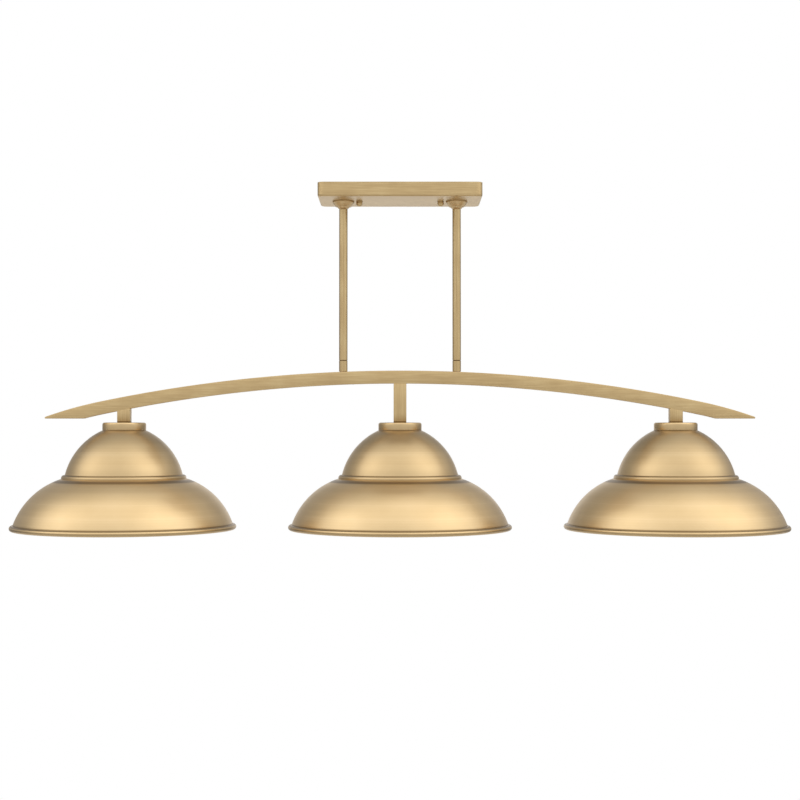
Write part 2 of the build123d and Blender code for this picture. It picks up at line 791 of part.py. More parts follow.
hollow = bar_hollow(level_cut_z)
connector = make_connector()
pieces = {
    "canopy": make_canopy(),
    "crossbar": make_crossbar(),
    "canopy_studs": at_sides(make_stud(), stud_x),
    "stud_lock_nuts": at_sides(make_stud_nut(), stud_x),
    "canopy_cap_nuts": at_sides(make_cap_nut(), stud_x),
    "ground_screw": Pos(ground_screw_x, 0, 0) * make_ground_screw(),
    "ground_lead": make_ground_lead(),
    "wire_connectors": [
        Pos(0, -connector_offset, connector_z) * Rot(90, 0, 0) * connector,
        Pos(0, connector_offset, connector_z) * Rot(-90, 0, 0) * connector,
        Pos(ground_connector_x, ground_connector_y, connector_z) * Rot(0, 90, 0) * connector,
    ],
    "canopy_live_leads": make_canopy_leads(-1),
    "canopy_neutral_leads": make_canopy_leads(1),
    "swivel_ring_nuts": at_sides(make_ring_nut(), rod_x, ball_z),
    "rod_top_nipples": at_sides(make_nipple(rod_top_z - nipple_grip, rod_top_z + nipple_grip), rod_x),
    "rod_foot_nipples": at_sides(
        make_nipple(coupling_foot_z - bar_wall - bush_height, rod_foot_z + nipple_grip), rod_x
    ),
    "rod_bushes": make_rod_bush(hollow),
    "arched_bar": make_bar(),
    "bar_tip_plates": make_tip_plates(),
    "post_plugs": at_lamps(make_post_plug()),
    "socket_nipples": at_lamps(make_nipple(shade_top_z + shoulder_height, post_foot_z + post_plug_height)),
    "socket_caps": at_lamps(make_socket_cap(), shade_top_z),
    "centre_contacts": at_lamps(make_centre_contact(), shade_top_z),
    "live_leads": make_lamp_leads(-1),
    "neutral_leads": make_lamp_leads(1),
}
for name, side in sides.items():
    pieces[f"swivel_cup_{name}"] = Pos(side * rod_x, 0, ball_z) * make_cup()
    pieces[f"swivel_ball_{name}"] = Pos(side * rod_x, 0, ball_z) * make_ball()
    pieces[f"rod_{name}"] = Pos(side * rod_x, 0, 0) * tube(rod_r, nipple_hole_r, rod_foot_z, rod_top_z)
    coupling = tube(rod_r, nipple_hole_r, coupling_foot_z, rod_foot_z)
    pieces[f"rod_coupling_{name}"] = Pos(side * rod_x, 0, 0) * coupling
for name, x in lamps.items():
    lamp = Pos(x, 0, shade_top_z)
    pieces[f"post_{name}"] = make_post(x)
    pieces[f"collar_{name}"] = Pos(x, 0, 0) * make_collar()
    pieces[f"shade_{name}"] = lamp * make_shade()
    pieces[f"shade_ring_{name}"] = lamp * make_shade_ring()
    pieces[f"socket_body_{name}"] = lamp * make_socket_body()
    pieces[f"screw_shell_{name}"] = lamp * make_screw_shell()
    pieces[f"bulb_tip_{name}"] = lamp * make_bulb_tip()
    pieces[f"bulb_cap_{name}"] = lamp * make_bulb_cap()
    pieces[f"bulb_glass_{name}"] = lamp * make_bulb_glass()

os.makedirs("parts", exist_ok=True)
for name, piece in pieces.items():
    group = piece if isinstance(piece, list) else [piece]
    solids = [solid for shape in group for solid in shape.solids()]
    whole = solids[0] if len(solids) == 1 else Compound(children=solids)
    export_step(whole, f"parts/{name}.step")
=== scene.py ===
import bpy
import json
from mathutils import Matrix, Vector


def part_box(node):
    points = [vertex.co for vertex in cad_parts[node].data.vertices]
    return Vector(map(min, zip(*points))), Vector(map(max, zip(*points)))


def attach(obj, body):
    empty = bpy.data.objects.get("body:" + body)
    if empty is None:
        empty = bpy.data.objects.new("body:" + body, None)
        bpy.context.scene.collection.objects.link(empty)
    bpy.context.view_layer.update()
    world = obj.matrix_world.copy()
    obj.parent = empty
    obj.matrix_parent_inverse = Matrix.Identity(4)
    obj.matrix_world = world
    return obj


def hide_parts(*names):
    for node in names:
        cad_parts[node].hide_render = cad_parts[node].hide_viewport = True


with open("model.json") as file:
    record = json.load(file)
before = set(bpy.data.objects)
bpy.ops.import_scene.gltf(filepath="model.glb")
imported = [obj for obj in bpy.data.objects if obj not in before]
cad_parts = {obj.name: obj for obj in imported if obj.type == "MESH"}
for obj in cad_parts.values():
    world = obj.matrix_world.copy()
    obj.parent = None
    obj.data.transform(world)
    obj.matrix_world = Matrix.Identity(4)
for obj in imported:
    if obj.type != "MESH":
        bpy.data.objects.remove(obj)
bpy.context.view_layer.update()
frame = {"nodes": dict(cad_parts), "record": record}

import json
import math
import bpy

# Linear island pendant: three spun shades in line under an arched bar on two rods.
# Metres, +Z up, +X along the bar, front towards -Y. The ceiling is the plane Z = 0.
# Sizes in the functions are in mm unless they say otherwise.
MM = 0.001
LAMPS = {"left": -431.8, "centre": 0.0, "right": 431.8}
SIDES = {"left": -1, "right": 1}


def middle_x(node):
    """Where a CAD node is centred along the bar."""
    low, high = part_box(node)
    return (low.x + high.x) / 2 / MM


# heights and places from the frame
SHADE_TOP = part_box("shade_centre")[1].z / MM
POST_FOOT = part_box("collar_centre")[1].z / MM
BAR_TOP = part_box("arched_bar")[1].z / MM
LEVEL_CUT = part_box("arched_bar")[0].z / MM
ROD_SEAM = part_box("rod_left")[0].z / MM
ROD_X = middle_x("rod_right")
WAIST = 74.3                   # from the shade's flat top down to the middle of the bead
RIM = 147.6                    # the same, to where the bell meets the rolled rim
PIPE_BORE = 4.85               # radius through collars, rods, couplings and swivel balls
FLOOR_Z = -2.7                 # in metres


# ---------------------------------------------------------------- camera

def set_up_camera():
    """Standard lens at the height of the collars, level but for a slight tilt up."""
    lens, distance, height, tilt = 67.5, 2.35, -0.381, 1.15     # mm, metres, metres, degrees
    data = bpy.data.cameras.new("camera")
    data.sensor_width = 36
    data.lens = lens
    camera = bpy.data.objects.new("camera", data)
    bpy.context.scene.collection.objects.link(camera)
    camera.location = (0, -distance, height)
    camera.rotation_euler = (math.radians(90 + tilt), 0, 0)
    bpy.context.scene.camera = camera


set_up_camera()
bpy.context.scene.view_settings.view_transform = "Standard"

# ---------------------------------------------------------------- nodes

def colour(hex_value):
    """Linear RGBA from an sRGB hex value."""
    text = hex_value.lstrip("#")
    parts = [int(text[at:at + 2], 16) / 255 for at in (0, 2, 4)]
    return [c / 12.92 if c <= 0.04045 else ((c + 0.055) / 1.055) ** 2.4 for c in parts] + [1.0]


def add_node(tree, kind, inputs=None, **settings):
    """One node with its settings; an input is a value, or another node's output socket."""
    node = tree.nodes.new(kind)
    for name, value in settings.items():
        setattr(node, name, value)
    for name, value in (inputs or {}).items():
        socket = node.inputs[name]
        if isinstance(value, bpy.types.NodeSocket):
            tree.links.new(value, socket)
        else:
            socket.default_value = value
    return node


def calculate(tree, operation, *values):
    """The result of a math node."""
    return add_node(tree, "ShaderNodeMath", dict(enumerate(values)), operation=operation).outputs[0]


def soft_step(tree, value, start, end, low, high):
    """Low up to start and high from end on, with a smooth change between."""
    return add_node(tree, "ShaderNodeMapRange", {
        "Value": value, "From Min": start, "From Max": end, "To Min": low, "To Max": high,
    }, interpolation_type="SMOOTHSTEP").outputs[0]


def object_place(tree):
    return add_node(tree, "ShaderNodeTexCoord").outputs["Object"]


def height_of(tree, place):
    return add_node(tree, "ShaderNodeSeparateXYZ", {"Vector": place}).outputs["Z"]


def noise(tree, place, size, detail, roughness=0.5):
    """Noise with patches about this size."""
    return add_node(tree, "ShaderNodeTexNoise", {
        "Vector": place, "Scale": 1 / (size * MM), "Detail": detail, "Roughness": roughness,
    }).outputs["Fac"]


def shine(tree, texture, smoothest, roughest):
    """Roughness that follows a noise over its middle values."""
    return add_node(tree, "ShaderNodeMapRange", {
        "Value": texture, "From Min": 0.3, "From Max": 0.7, "To Min": smoothest, "To Max": roughest,
    }).outputs[0]


def relief(tree, texture, strength, depth):
    """Bumps that follow a noise."""
    return add_node(tree, "ShaderNodeBump", {
        "Height": texture, "Strength": strength, "Distance": depth * MM,
    }).outputs[0]


def ramp(tree, value, stops):
    """Colour ramp from (position, hex) stops."""
    node = add_node(tree, "ShaderNodeValToRGB", {"Fac": value})
    elements = node.color_ramp.elements
    elements[0].position, elements[0].color = stops[0][0], colour(stops[0][1])
    elements[1].position, elements[1].color = stops[-1][0], colour(stops[-1][1])
    for position, hex_value in stops[1:-1]:
        element = elements.new(position)
        element.color = colour(hex_value)
    return node.outputs["Color"]


def lathe_coordinates(tree, centre_x):
    """A point's place, and its (radius, height), about an upright axis: the latter the same all round."""
    centred = add_node(tree, "ShaderNodeMapping", {
        "Vector": object_place(tree), "Location": (-centre_x * MM, 0, 0),
    })
    parts = add_node(tree, "ShaderNodeSeparateXYZ", {"Vector": centred.outputs[0]})
    flat = add_node(tree, "ShaderNodeCombineXYZ", {"X": parts.outputs["X"], "Y": parts.outputs["Y"]})
    radius = add_node(tree, "ShaderNodeVectorMath", {0: flat.outputs[0]}, operation="LENGTH")
    rings = add_node(tree, "ShaderNodeCombineXYZ", {"X": radius.outputs["Value"], "Z": parts.outputs["Z"]})
    return centred.outputs[0], rings.outputs[0]


def faces_axis(tree, around):
    """One where a face looks towards its upright axis, as inside a shade, and nought outside."""
    facing = add_node(tree, "ShaderNodeTexCoord").outputs["Normal"]
    level = add_node(tree, "ShaderNodeMapping", {"Vector": around, "Scale": (1, 1, 0)})
    outwards = add_node(tree, "ShaderNodeVectorMath", {
        0: facing, 1: level.outputs[0],
    }, operation="DOT_PRODUCT")
    return calculate(tree, "LESS_THAN", outwards.outputs["Value"], 0.0)


def seen_directly(tree, rays):
    """One for rays from the camera, also through glass."""
    return calculate(tree, "MAXIMUM", rays.outputs["Is Camera Ray"], rays.outputs["Is Transmission Ray"])


# ---------------------------------------------------------------- materials

def new_material(name):
    material = bpy.data.materials.new(name)
    material.use_nodes = True
    material.node_tree.nodes.clear()
    return material, material.node_tree


def finish_material(material, tree, shader):
    add_node(tree, "ShaderNodeOutputMaterial", {"Surface": shader.outputs[0]})
    return material


def painted_shade_by_height(tree, tone, upright, bands):
    """Tone darkened in bands of (height, height where it ends, share left): painted shade."""
    for start, end, share in bands:
        tone = add_node(tree, "ShaderNodeVectorMath", {
            0: tone, "Scale": soft_step(tree, upright, start * MM, end * MM, share, 1.0),
        }, operation="SCALE").outputs["Vector"]
    return tone


def groove_patina_and_shade(tree, tone, upright, grooves, inside=0.0):
    """Brown in grooves of (height, half width, bare share): patina where brushing doesn't reach, and painted
    shade.

    Where inside is one, the surface stays as it is: the back of a groove stands up and is brushed.
    """
    for height, half_width, share in grooves:
        away = calculate(tree, "ABSOLUTE", calculate(tree, "SUBTRACT", upright, height * MM))
        bare = soft_step(tree, away, 0.3 * half_width * MM, half_width * MM, share, 1.0)
        bare = calculate(tree, "MAXIMUM", bare, inside)
        # painted shade and patina: the groove's brown mixed in
        tone = add_node(tree, "ShaderNodeMix", {
            0: bare, 6: colour("#5A4018"), 7: tone,
        }, data_type="RGBA").outputs[2]
    return tone


def lacquered_brass(material, tree, tone, brushing, roughness):
    """Brushed brass under lacquer: the brush lines vary its shine and stand up a little."""
    shader = add_node(tree, "ShaderNodeBsdfPrincipled", {
        "Base Color": tone, "Metallic": 1.0, "Roughness": shine(tree, brushing, *roughness),
        "Normal": relief(tree, brushing, 0.1, 0.2), "Coat Weight": 0.25, "Coat Roughness": 0.35,
    })
    return finish_material(material, tree, shader)


def spun_aged_brass(name, centre_x, bands=(), grooves=()):
    """Aged brass, spun on a lathe and scratch-brushed: rings round the axis catch the light."""
    material, tree = new_material(name)
    around, rings = lathe_coordinates(tree, centre_x)
    # brush lines are about 0.4 mm apart; drawn at 1.6 mm to show in the picture
    fine = noise(tree, rings, 1.6, 3.0, 0.6)
    # faint wider bands where the spinning tool rested
    broad = noise(tree, rings, 18, 2.0)
    # cloudy ageing under the lacquer
    cloud = noise(tree, around, 60, 4.0)
    lines = calculate(tree, "MULTIPLY", calculate(tree, "ADD", fine, broad), 0.5)
    aged = calculate(tree, "MULTIPLY_ADD", cloud, 0.35, lines)
    tone = ramp(tree, aged, [(0.40, "#C1A578"), (0.66, "#CEB386"), (0.95, "#DAC095")])
    upright = height_of(tree, around)
    # painted shade: the dome darker towards its top, and the grooves brown with painted shade and some patina
    tone = painted_shade_by_height(tree, tone, upright, bands)
    tone = groove_patina_and_shade(tree, tone, upright, grooves, faces_axis(tree, around))
    return lacquered_brass(material, tree, tone, fine, (0.32, 0.42))


def drawn_aged_brass(name, stretch, roughness=(0.36, 0.48), bands=(), grooves=()):
    """Aged brass tube, brushed one way; stretch is large along the brushing."""
    material, tree = new_material(name)
    place = object_place(tree)
    along = add_node(tree, "ShaderNodeMapping", {"Vector": place, "Scale": [1 / s for s in stretch]})
    streak = noise(tree, along.outputs[0], 1.2, 3.0, 0.6)
    cloud = noise(tree, place, 45, 3.0)
    aged = calculate(tree, "MULTIPLY_ADD", cloud, 0.5, streak)
    tone = ramp(tree, aged, [(0.50, "#BEA274"), (0.76, "#CBB080"), (1.0, "#D6BE8E")])
    upright = height_of(tree, place)
    tone = painted_shade_by_height(tree, tone, upright, bands)
    tone = groove_patina_and_shade(tree, tone, upright, grooves)
    return lacquered_brass(material, tree, tone, streak, roughness)


def zinc_plated_steel(name):
    """Turned or stamped steel with bright zinc plate: cool grey, slightly cloudy, a soft shine."""
    material, tree = new_material(name)
    # zinc crystals show as faint patches
    cloud = noise(tree, object_place(tree), 3, 4.0, 0.65)
    shader = add_node(tree, "ShaderNodeBsdfPrincipled", {
        "Base Color": ramp(tree, cloud, [(0.30, "#A9ADAD"), (0.55, "#C2C5C4"), (0.80, "#D3D4CF")]),
        "Metallic": 1.0, "Roughness": shine(tree, cloud, 0.24, 0.40),
    })
    return finish_material(material, tree, shader)


def turned_metal(name, stops, roughness, line):
    """Bare metal turned or rolled round an upright axis: thin rings, this far apart, vary its shine."""
    material, tree = new_material(name)
    place = object_place(tree)
    level = add_node(tree, "ShaderNodeMapping", {"Vector": place, "Scale": (0.02, 0.02, 1)})
    rings = noise(tree, level.outputs[0], line, 3.0, 0.6)
    # handling marks and first tarnish
    marks = noise(tree, place, 8, 4.0)
    mixed = calculate(tree, "MULTIPLY_ADD", marks, 0.5, rings)
    shader = add_node(tree, "ShaderNodeBsdfPrincipled", {
        "Base Color": ramp(tree, mixed, stops), "Metallic": 1.0,
        "Roughness": shine(tree, marks, *roughness), "Normal": relief(tree, rings, 0.1, 0.1),
    })
    return finish_material(material, tree, shader)


def glazed_porcelain():
    """Pressed porcelain under a clear glaze: warm white, glossy, with a slow wave in the surface."""
    material, tree = new_material("glazed_porcelain")
    # waves where the glaze pools
    wave = noise(tree, object_place(tree), 7, 2.0)
    shader = add_node(tree, "ShaderNodeBsdfPrincipled", {
        "Base Color": ramp(tree, wave, [(0.30, "#E6E2D8"), (0.55, "#EEEBE2"), (0.80, "#F3F1EA")]),
        "Roughness": 0.35, "IOR": 1.5, "Coat Weight": 1.0, "Coat Roughness": 0.06,
        "Normal": relief(tree, wave, 0.15, 0.3),
    })
    return finish_material(material, tree, shader)


def frosted_glass():
    """Soda-lime bulb glass, smooth outside and acid-frosted inside: milky, with a clear gloss on top."""
    material, tree = new_material("inside_frosted_bulb_glass")
    # slightly uneven frosting
    frost = noise(tree, object_place(tree), 12, 3.0)
    shader = add_node(tree, "ShaderNodeBsdfPrincipled", {
        "Base Color": ramp(tree, frost, [(0.30, "#EFEDE6"), (0.55, "#F4F2ED"), (0.80, "#F8F7F3")]),
        "Roughness": shine(tree, frost, 0.50, 0.62), "IOR": 1.52, "Transmission Weight": 0.25,
        "Coat Weight": 1.0, "Coat Roughness": 0.03,
    })
    return finish_material(material, tree, shader)


def moulded_plastic(name, hexes, grain, roughness):
    """Moulded or extruded plastic: a soft shine over a fine grain, its colour slightly uneven."""
    material, tree = new_material(name)
    texture = noise(tree, object_place(tree), grain, 4.0, 0.55)
    shader = add_node(tree, "ShaderNodeBsdfPrincipled", {
        "Base Color": ramp(tree, texture, list(zip((0.3, 0.6, 0.9), hexes))),
        "Roughness": shine(tree, texture, *roughness), "IOR": 1.5,
        "Normal": relief(tree, texture, 0.08, 0.05),
    })
    return finish_material(material, tree, shader)


# a shade's dome gets painted shade, most near its top; its grooves by the bead and rim get painted shade and
# patina
dome_painted_shade = [
    (SHADE_TOP - 16, SHADE_TOP - 60, 0.76), (SHADE_TOP - WAIST + 2, SHADE_TOP - WAIST - 2, 0.93),
]
shade_grooves = [
    (SHADE_TOP - WAIST + 3.9, 1.7, 0.35), (SHADE_TOP - WAIST - 4.7, 3.0, 0.25),
    (SHADE_TOP - RIM + 0.4, 2.2, 0.30), (SHADE_TOP - RIM - 4.6, 2.4, 0.70),
]
spun_brass = {
    lamp: spun_aged_brass(f"spun_aged_brass_{lamp}", x, dome_painted_shade, shade_grooves)
    for lamp, x in LAMPS.items()
}
collar_brass = {lamp: spun_aged_brass(f"spun_aged_brass_collar_{lamp}", x) for lamp, x in LAMPS.items()}
swivel_brass = {
    side: spun_aged_brass(f"spun_aged_brass_swivel_{side}", sign * ROD_X) for side, sign in SIDES.items()
}
brass_brushed_along = drawn_aged_brass("aged_brass_brushed_along_the_bar", (40, 1, 1))
brass_brushed_down = drawn_aged_brass("aged_brass_brushed_downwards", (1, 1, 40))
# a post's foot is darker: painted shade above its weld to the collar, and a dark seam with painted shade at
# the weld
post_brass = drawn_aged_brass(
    "aged_brass_post", (1, 1, 40),
    bands=[(POST_FOOT, POST_FOOT + 16, 0.80)], grooves=[(POST_FOOT + 0.9, 1.5, 0.22)],
)
# a rod is polished smoother than the flat tube, and the seam above its coupling is dark
rod_brass = drawn_aged_brass(
    "aged_brass_drawn_rod", (1, 1, 40), roughness=(0.20, 0.30), grooves=[(ROD_SEAM, 1.1, 0.35)],
)
# bought-in thin brass, pressed and left bare: yellower and brighter than the lacquered finish outside
pressed_brass = turned_metal(
    "pressed_bare_brass", [(0.45, "#BE9448"), (0.75, "#D2AC62"), (1.0, "#DFBF7B")], (0.22, 0.36), 0.8,
)
# rolled cap of the bulb: pale, slightly dull from handling
rolled_aluminium = turned_metal(
    "rolled_aluminium", [(0.45, "#BDBEBF"), (0.75, "#CFD0D1"), (1.0, "#DCDDDD")], (0.28, 0.42), 0.6,
)
# the contact's blob of tin-lead, frozen from the melt: grey, with a blunt shine
tin_solder = turned_metal(
    "tin_solder", [(0.45, "#8F9192"), (0.75, "#A6A8A9"), (1.0, "#BABBBB")], (0.35, 0.55), 2.5,
)
green_zinc = turned_metal(
    "green_passivated_screw", [(0.45, "#2C6B3C"), (0.75, "#3D8650"), (1.0, "#5CA06B")], (0.30, 0.45), 0.5,
)
# vitrite, cast hot into the cap: near black, glassy, slightly wavy
black_glass = moulded_plastic("black_cap_glass", ("#0E0E10", "#151517", "#1D1D20"), 3.0, (0.10, 0.18))

FINISHES = {
    "aged_brass": brass_brushed_down,
    "zinc_plated_steel": zinc_plated_steel("bright_zinc_plated_steel"),
    "porcelain": glazed_porcelain(),
    "bare_brass": pressed_brass,
    "frosted_glass": frosted_glass(),
    "bulb_cap_aluminium": rolled_aluminium,
    "solder": tin_solder,
    "black_insulation": moulded_plastic(
        "black_vinyl_insulation", ("#171718", "#202021", "#2B2B2C"), 1.5, (0.34, 0.48),
    ),
    "white_insulation": moulded_plastic(
        "white_vinyl_insulation", ("#DAD7CF", "#E6E4DD", "#EFEEE9"), 1.5, (0.36, 0.50),
    ),
    "green_insulation": moulded_plastic(
        "green_vinyl_insulation", ("#256B38", "#2F7D45", "#3F8F55"), 1.5, (0.34, 0.48),
    ),
    "green_screw": green_zinc,
    "connector_plastic": moulded_plastic(
        "orange_connector_plastic", ("#C56820", "#D9792B", "#E58A3E"), 2.0, (0.42, 0.56),
    ),
}
for part in frame["record"]["subparts"]:
    name = part["node"]
    finish = FINISHES[part["material_slot"]]
    if name.startswith("swivel_") and part["material_slot"] == "aged_brass":
        finish = swivel_brass[name.split("_")[-1]]
    elif name == "canopy":
        finish = brass_brushed_along
    node = frame["nodes"][name]
    node.data.materials.clear()
    node.data.materials.append(finish)

# ---------------------------------------------------------------- profiles: (radius, height)

def arc_points(centre, start, end, steps):
    """Points after start, along the short arc to end."""
    first = math.atan2(start[1] - centre[1], start[0] - centre[0])
    last = math.atan2(end[1] - centre[1], end[0] - centre[0])
    turn = (last - first + math.pi) % (2 * math.pi) - math.pi
    reach = math.dist(centre, start)
    angles = [first + turn * at / steps for at in range(1, steps + 1)]
    return [(centre[0] + reach * math.cos(turned), centre[1] + reach * math.sin(turned)) for turned in angles]


def arc_centre(a, b, radius):
    """Centre of the circle through a and b that bulges away from the axis."""
    half = math.dist(a, b) / 2
    reach = math.sqrt(radius ** 2 - half ** 2)
    return (
        (a[0] + b[0]) / 2 - (a[1] - b[1]) / 2 / half * reach,
        (a[1] + b[1]) / 2 - (b[0] - a[0]) / 2 / half * reach,
    )


def crossing(centre_a, radius_a, centre_b, radius_b, better):
    """The point where two circles cross that better prefers."""
    span = math.dist(centre_a, centre_b)
    along = (span ** 2 + radius_a ** 2 - radius_b ** 2) / (2 * span)
    aside = math.sqrt(radius_a ** 2 - along ** 2)
    way = ((centre_b[0] - centre_a[0]) / span, (centre_b[1] - centre_a[1]) / span)
    foot = (centre_a[0] + way[0] * along, centre_a[1] + way[1] * along)
    crossings = [(foot[0] - way[1] * aside * side, foot[1] + way[0] * aside * side) for side in (-1, 1)]
    return max(crossings, key=better)


# ---------------------------------------------------------------- modelling, as by hand

def start_piece():
    """Out of edit mode, with nothing selected."""
    if bpy.context.mode != "OBJECT":
        bpy.ops.object.mode_set(mode="OBJECT")
    bpy.ops.object.select_all(action="DESELECT")


def turn_on_lathe(name, profile, x, top=0.0, around=192, closed=False):
    """Sheet of revolution: a circle drawn out ring by ring along the profile, its heights from top."""
    start_piece()
    radius, height = profile[0]
    bpy.ops.mesh.primitive_circle_add(
        vertices=around, radius=radius * MM, enter_editmode=True,
        location=(x * MM, 0, (top + height) * MM),
    )
    piece = bpy.context.object
    piece.name = name
    for next_radius, next_height in profile[1:]:
        bpy.ops.mesh.extrude_region_move()
        centre = (x * MM, 0, (top + height) * MM)
        share = next_radius / radius
        bpy.ops.transform.resize(value=(share, share, 1), center_override=centre)
        bpy.ops.transform.translate(value=(0, 0, (next_height - height) * MM))
        radius, height = next_radius, next_height
    bpy.ops.mesh.select_all(action="SELECT")
    if closed:
        bpy.ops.mesh.remove_doubles(threshold=0.002 * MM)
    bpy.ops.mesh.normals_make_consistent(inside=False)
    bpy.ops.object.mode_set(mode="OBJECT")
    return piece


def add_modifier(piece, kind, **settings):
    """Adds a modifier, sets it and applies it."""
    bpy.context.view_layer.objects.active = piece
    modifier = piece.modifiers.new(kind.lower(), kind)
    for name, value in settings.items():
        setattr(modifier, name, value)
    bpy.ops.object.modifier_apply(modifier=modifier.name)


def thicken(piece, sheet):
    """Gives a sheet its thickness, inwards."""
    add_modifier(piece, "SOLIDIFY", thickness=sheet * MM, offset=-1)


def join(*pieces):
    """The first piece, with the others in it."""
    start_piece()
    for piece in pieces:
        piece.select_set(True)
    bpy.context.view_layer.objects.active = pieces[0]
    bpy.ops.object.join()
    return pieces[0]


def finish_piece(piece, body, finish, slot, *nodes):
    """Place kept in the mesh, smooth faces, its body, its finish and the CAD nodes it stands for."""
    start_piece()
    piece.select_set(True)
    bpy.context.view_layer.objects.active = piece
    bpy.ops.object.transform_apply(location=True, rotation=True, scale=True)
    bpy.ops.object.shade_smooth_by_angle(angle=math.radians(35))
    piece.data.materials.clear()
    piece.data.materials.append(finish)
    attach(piece, body)
    if nodes:
        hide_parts(*nodes)


def for_side(first, side, move):
    """The left piece itself, or for another side a copy with its own mesh, moved along the bar."""
    if side == "left":
        return first
    start_piece()
    copy = first.copy()
    copy.data = first.data.copy()
    copy.name = first.name.replace("left", side)
    bpy.context.scene.collection.objects.link(copy)
    copy.location.x += move * MM
    return copy


# ---------------------------------------------------------------- shades, collars, posts, bar and rods

def spin_shade():
    """Spun sheet shade: flat top, dome, hollow bead, wide bell and a rim curled inwards."""
    hole, flat, shoulder, waist_r, shade_r, sheet = 20.4, 32.0, 33.4, 91.9, 174.7, 0.88
    dome_arc, bell_arc, bead, curl, foot = 104.0, 114.5, 4.6, 4.1, -155.5
    top_edge, waist, rim = (shoulder, 0), (waist_r, -WAIST), (shade_r - curl, foot + curl)
    dome = arc_centre(top_edge, waist, dome_arc)
    bell = arc_centre(waist, rim, bell_arc)
    on_dome = crossing(dome, dome_arc, waist, bead, lambda point: point[1])
    on_bell = crossing(bell, bell_arc, waist, bead, lambda point: point[0])
    at_rim = crossing(bell, bell_arc, rim, curl, lambda point: point[1])
    profile = [(hole, 0), (26.0, 0), (flat, 0), top_edge]
    profile += arc_points(dome, top_edge, on_dome, 30)[1:]
    profile += arc_points(waist, on_dome, on_bell, 14)
    profile += arc_points(bell, on_bell, at_rim, 36)
    profile += arc_points(rim, at_rim, (shade_r, rim[1]), 6)
    profile += arc_points(rim, (shade_r, rim[1]), (rim[0], foot), 6)
    profile += arc_points(rim, (rim[0], foot), (rim[0] - curl, rim[1]), 6)
    shade = turn_on_lathe("shade_left_spun", profile, LAMPS["left"], SHADE_TOP)
    thicken(shade, sheet)
    return shade


def spin_collar():
    """Spun collar with a rounded top edge, over the socket's shoulder."""
    radius, edge, sheet, height = 33.8, 3.2, 1.2, POST_FOOT - SHADE_TOP
    profile = [(PIPE_BORE, height), (18.0, height), (radius - edge, height)]
    profile += arc_points((radius - edge, height - edge), (radius - edge, height), (radius, height - edge), 8)
    profile += [(radius, height / 2), (radius, 0.5), (radius - 0.25, 0.05)]
    collar = turn_on_lathe("collar_left_spun", profile, LAMPS["left"], SHADE_TOP, around=128)
    thicken(collar, sheet)
    return collar


def cut_post(lamp):
    """Post of rectangular tube, coped into the bar above and square at its foot."""
    width, depth, top = 20.0, 15.9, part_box(f"post_{lamp}")[1].z / MM
    start_piece()
    bpy.ops.mesh.primitive_cube_add(size=1, location=(LAMPS[lamp] * MM, 0, (POST_FOOT + top) / 2 * MM))
    post = bpy.context.object
    post.name = f"post_{lamp}_cut"
    post.scale = (width * MM, depth * MM, (top - POST_FOOT) * MM)
    bpy.ops.object.transform_apply(location=True, rotation=True, scale=True)
    add_modifier(post, "BEVEL", width=0.6 * MM, segments=3, limit_method="ANGLE")
    return post


def roll_bar():
    """Rectangular tube rolled to an arch, its ends drawn to a point by a level cut."""
    depth, height, length = 16.0, 20.0, 1109.6
    # a flatter middle arc of this span, and a tighter one at each end
    middle_r, end_r, middle_span = 2300.0, 640.0, 940.0
    knee = math.asin(middle_span / 2 / middle_r)
    middle_z = BAR_TOP - middle_r
    end_x = (middle_r - end_r) * math.sin(knee)
    end_z = middle_z + (middle_r - end_r) * math.cos(knee)
    reach = math.asin((length / 2 + height / 2 - end_x) / end_r)
    line_r = end_r - height / 2
    start_piece()
    bpy.ops.mesh.primitive_plane_add(
        size=1, rotation=(0, math.radians(90) - reach, 0), enter_editmode=False,
        location=((-end_x - line_r * math.sin(reach)) * MM, 0, (end_z + line_r * math.cos(reach)) * MM),
    )
    bar = bpy.context.object
    bar.name = "arched_bar_rolled"
    bar.scale = (height * MM, depth * MM, 1)
    bpy.ops.object.transform_apply(location=True, rotation=True, scale=True)
    bpy.ops.object.mode_set(mode="EDIT")
    for centre_x, centre_z, turn, steps in (
        (-end_x, end_z, reach - knee, 14), (0, middle_z, 2 * knee, 60), (end_x, end_z, reach - knee, 14),
    ):
        for _ in range(steps):
            bpy.ops.mesh.extrude_region_move()
            bpy.ops.transform.rotate(
                value=-turn / steps, orient_axis="Y", center_override=(centre_x * MM, 0, centre_z * MM),
            )
    tip = length / 2 * MM
    for place, normal in (
        ((0, 0, LEVEL_CUT * MM), (0, 0, -1)), ((tip, 0, 0), (1, 0, 0)), ((-tip, 0, 0), (-1, 0, 0)),
    ):
        bpy.ops.mesh.select_all(action="SELECT")
        bpy.ops.mesh.bisect(plane_co=place, plane_no=normal, use_fill=True, clear_outer=True)
    bpy.ops.mesh.select_all(action="SELECT")
    bpy.ops.mesh.normals_make_consistent(inside=False)
    bpy.ops.object.mode_set(mode="OBJECT")
    add_modifier(
        bar, "BEVEL", width=0.6 * MM, segments=3, limit_method="ANGLE", angle_limit=math.radians(40),
    )
    return bar


def draw_tube(node):
    """Drawn round tube in place of a CAD node, its ends faced off with a small chamfer."""
    outer, edge = 6.65, 0.6
    low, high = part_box(node)
    top, foot = high.z / MM, low.z / MM
    return turn_on_lathe(f"{node}_drawn", [
        (PIPE_BORE, top), (outer - edge, top), (outer, top - edge), (outer, foot + edge),
        (outer - edge, foot), (PIPE_BORE, foot), (PIPE_BORE, top),
    ], middle_x(node), around=64, closed=True)


